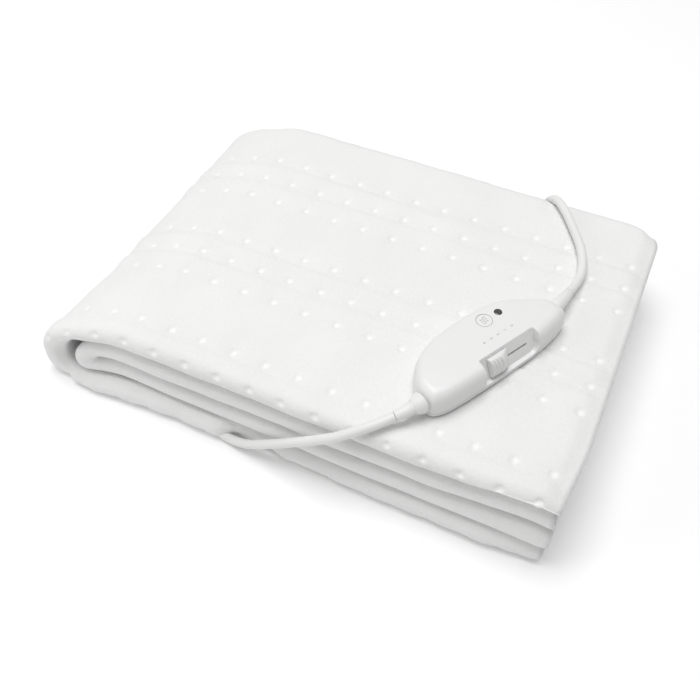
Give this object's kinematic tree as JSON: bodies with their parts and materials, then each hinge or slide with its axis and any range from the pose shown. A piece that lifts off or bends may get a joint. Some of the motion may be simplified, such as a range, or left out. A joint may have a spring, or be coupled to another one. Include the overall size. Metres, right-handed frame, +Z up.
{
  "type": "electric underblanket",
  "caption": "White fleece electric underblanket, folded, with its slide-switch hand controller lying on top, the lead to the blanket and the mains lead with a flat two-pin plug.",
  "frame": {"origin": "on the surface that the folded stack lies on, near the middle of its underside", "axes": "+X along the folded front edge to the right, +Y to the back, +Z up"},
  "size_m": [0.4014, 0.3534, 0.0933],
  "materials": {
    "fleece": "soft brushed fleece",
    "shell": "satin gloss",
    "knob": "satin",
    "lamp": "clear dark window",
    "lead": "satin",
    "tie": "matt",
    "pin": "nickel plated"
  },
  "bodies": {
    "blanket": {"underblanket": "fleece", "controller_base": "shell", "controller_cover": "shell", "lamp_window": "lamp", "lead_boot": "lead", "mains_boot": "lead", "blanket_lead": "lead", "mains_lead": "lead", "mains_hank": "lead", "mains_tail": "lead", "hank_tie": "tie", "plug_boot": "lead", "plug_body": "lead", "plug_pin_left": "pin", "plug_pin_right": "pin"},
    "switch": {"switch_knob": "knob"}
  },
  "joints": [
    {"name": "switch_slide", "type": "slide", "parent": "blanket", "child": "switch", "axis": [0.4639, 0.8859, 0], "range_m": [0, 0.0244]}
  ]
}
